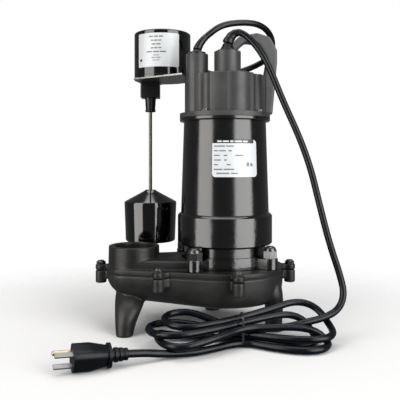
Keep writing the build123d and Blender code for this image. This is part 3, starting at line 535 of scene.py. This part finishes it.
def make_switch_label():
    """White label on the float switch, with centred bars in place of print."""
    bm = bmesh.new()
    middle, radius = (-81, 48), 37.3
    span, low, high = (-141, -52), 322.0, 365.0
    degree = math.radians(1) * radius

    def strip(angles, heights, lift, index, columns, corner=(0, 0, 0, 0)):
        curved_plate(bm, middle, lambda z: radius, angles, heights, lift, index, columns, corner)

    strip(span, (low, high), LABEL_T, 0, 60, (1.5, 1.5, 1.5, 1.5))
    centre = (span[0] + span[1]) / 2 - 2
    word_gap = 1.1
    rows = ((38.4, 20), (33.4, 15), (28.6, 13), (23.8, 15), (19.0, 27), (14.6, 8), (11.4, 13), (8.2, 10))
    for height, width in rows:
        thick = 0.85 if height > 18 else 0.55
        words = 3 if width > 14 else 2
        for k in range(words):
            left = centre + (-width / 2 + width * k / words) / degree
            right = left + (width / words - word_gap) / degree
            strip((left, right), (low + height - thick, low + height + thick), PRINT_T, 1, 5)
    dot = (span[0] + 3 / degree, span[0] + 7 / degree)
    strip(dot, (low + 7, low + 11), PRINT_T, 2, 4, (1.9, 1.9, 1.9, 1.9))
    plate = object_from(bm, "switch_plate", LABEL_WHITE, LABEL_GREY, LABEL_DARK)
    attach(plate, "pump")
    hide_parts("switch_label")


# ------------------------------------------------------------------ tubes along a line
def line_points(piece):
    """Points read from the cord's own spline, in order from its exit."""
    bare = piece.copy()
    bare.data = piece.data.copy()
    bare.data.bevel_depth = 0
    bare.data.resolution_u = 16
    mesh = bpy.data.meshes.new_from_object(bare)
    points = [v.co.copy() for v in mesh.vertices]
    bpy.data.meshes.remove(mesh)
    bpy.data.objects.remove(bare)
    return points


def sleeve(name, points, profile, look, sides=40):
    """A turned sleeve that follows a line: profile gives (distance along it, radius) in mm, ends closed."""
    lengths = [0.0]
    for a, b in zip(points, points[1:]):
        lengths.append(lengths[-1] + (b - a).length)

    def place(distance):
        distance *= MM
        for k in range(len(points) - 1):
            if lengths[k + 1] >= distance:
                share = (distance - lengths[k]) / max(lengths[k + 1] - lengths[k], 1e-9)
                return points[k].lerp(points[k + 1], share), (points[k + 1] - points[k]).normalized()
        return points[-1].copy(), (points[-1] - points[-2]).normalized()
    bm = bmesh.new()
    rings = []
    side = None
    for distance, radius in profile:
        middle, along = place(distance)
        side = along.orthogonal() if side is None else side - along * side.dot(along)
        side.normalize()
        across = along.cross(side)
        rings.append([bm.verts.new(middle + (side * math.cos(2 * math.pi * k / sides)
                                             + across * math.sin(2 * math.pi * k / sides)) * radius * MM)
                      for k in range(sides)])
    for low_ring, high_ring in zip(rings, rings[1:]):
        for k in range(sides):
            bm.faces.new((low_ring[k], low_ring[(k + 1) % sides], high_ring[(k + 1) % sides], high_ring[k]))
    bm.faces.new(rings[0])
    bm.faces.new(rings[-1])
    piece = object_from(bm, name, look)
    piece.data.shade_smooth()
    return piece


# ------------------------------------------------------------------ light and floor
def add_softbox(name, azimuth, distance, size, height, power, colour=(1, 1, 1)):
    """A tall softbox that faces the motor axis; azimuth is from straight in front, positive to the right."""
    data = bpy.data.lights.new(name, "AREA")
    data.shape = "RECTANGLE"
    data.size, data.size_y = size
    data.energy = power
    data.color = colour
    lamp = bpy.data.objects.new(name, data)
    angle = math.radians(azimuth)
    lamp.location = AXIS + Vector((math.sin(angle) * distance, -math.cos(angle) * distance, height))
    lamp.rotation_euler = (math.radians(90), 0, angle)
    bpy.context.scene.collection.objects.link(lamp)


def add_studio():
    """Two tall softboxes, one overhead, and a white world that lights the object only faintly."""
    add_softbox("softbox_left", -55, 1.3, (0.95, 1.9), 0.72, 30, (1.0, 0.975, 0.94))
    add_softbox("softbox_right", 47, 1.3, (1.15, 1.9), 0.72, 42, (1.0, 0.995, 0.985))
    top = bpy.data.lights.new("softbox_top", "AREA")
    top.shape = "RECTANGLE"
    top.size, top.size_y = 1.8, 1.6
    top.energy = 30
    lamp = bpy.data.objects.new("softbox_top", top)
    lamp.location = (0.0, 0.25, 1.9)
    bpy.context.scene.collection.objects.link(lamp)
    world = bpy.data.worlds.new("world")
    bpy.context.scene.world = world
    world.use_nodes = True
    nodes, links = world.node_tree.nodes, world.node_tree.links
    nodes.clear()
    out = nodes.new("ShaderNodeOutputWorld")
    blend = nodes.new("ShaderNodeMixShader")
    seen = nodes.new("ShaderNodeBackground")
    seen.inputs["Color"].default_value = (1, 1, 1, 1)
    lit = nodes.new("ShaderNodeBackground")
    lit.inputs["Color"].default_value = (0.95, 0.97, 1, 1)
    lit.inputs["Strength"].default_value = 0.16
    path = nodes.new("ShaderNodeLightPath")
    links.new(path.outputs["Is Camera Ray"], blend.inputs[0])
    links.new(lit.outputs[0], blend.inputs[1])
    links.new(seen.outputs[0], blend.inputs[2])
    links.new(blend.outputs[0], out.inputs["Surface"])
    bpy.context.scene.view_settings.view_transform = "Standard"


def add_floor():
    """A pale floor that fades into the white background away from the object."""
    bm = bmesh.new()
    bmesh.ops.create_grid(bm, x_segments=8, y_segments=8, size=5.0)
    material, nodes, links = new_material("studio_floor")
    near = nodes.new("ShaderNodeBsdfDiffuse")
    near.inputs["Color"].default_value = (0.57, 0.57, 0.57, 1)
    far = nodes.new("ShaderNodeBsdfTransparent")
    place = nodes.new("ShaderNodeTexCoord")
    reach = nodes.new("ShaderNodeVectorMath")
    reach.operation = "LENGTH"
    fade = nodes.new("ShaderNodeMapRange")
    fade.interpolation_type = "SMOOTHSTEP"
    fade.inputs["From Min"].default_value = 0.14
    fade.inputs["From Max"].default_value = 0.5
    blend = nodes.new("ShaderNodeMixShader")
    out = nodes.new("ShaderNodeOutputMaterial")
    links.new(place.outputs["Object"], reach.inputs[0])
    links.new(reach.outputs["Value"], fade.inputs["Value"])
    links.new(fade.outputs["Result"], blend.inputs[0])
    links.new(near.outputs[0], blend.inputs[1])
    links.new(far.outputs[0], blend.inputs[2])
    links.new(blend.outputs[0], out.inputs["Surface"])
    floor = object_from(bm, "studio_floor", material)
    floor.location.z = -0.0003
    floor.visible_glossy = False


# ------------------------------------------------------------------ build
add_camera()
add_studio()
add_floor()

power_cord = cord_curve("power_cord", POWER_ROUTE)
paint(power_cord, CORD_JACKET)
switch_lead = cord_curve("switch_lead", SWITCH_CORD_ROUTE)
paint(switch_lead, CORD_JACKET)
for lead, nodes_stood_for in ((power_cord, ("power_cord_drop", "power_cord_hank", "power_cord_tail")),
                              (switch_lead, ("switch_cord",))):
    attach(lead, "pump")
    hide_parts(*nodes_stood_for)

make_castings()
make_nameplate()
make_switch_label()

POWER_RELIEF = [(0.3, 4.0), (0.3, 6.3), (2, 6.6), (4, 6.5), (5.5, 5.9), (7.0, 5.6), (8.0, 5.9), (11, 5.5),
                (15, 5.0), (20, 4.5), (22, 4.15), (22.4, 3.9)]
SWITCH_RELIEF = [(0.2, 4.0), (0.2, 5.4), (3, 5.2), (9, 4.75), (16, 4.3), (20, 4.05), (20.4, 3.9)]
power_relief = sleeve("power_cord_relief", line_points(power_cord), POWER_RELIEF, BLACK_MOULDING)
switch_relief = sleeve("switch_cord_relief", line_points(switch_lead), SWITCH_RELIEF, BLACK_MOULDING)
for relief in (power_relief, switch_relief):
    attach(relief, "pump")
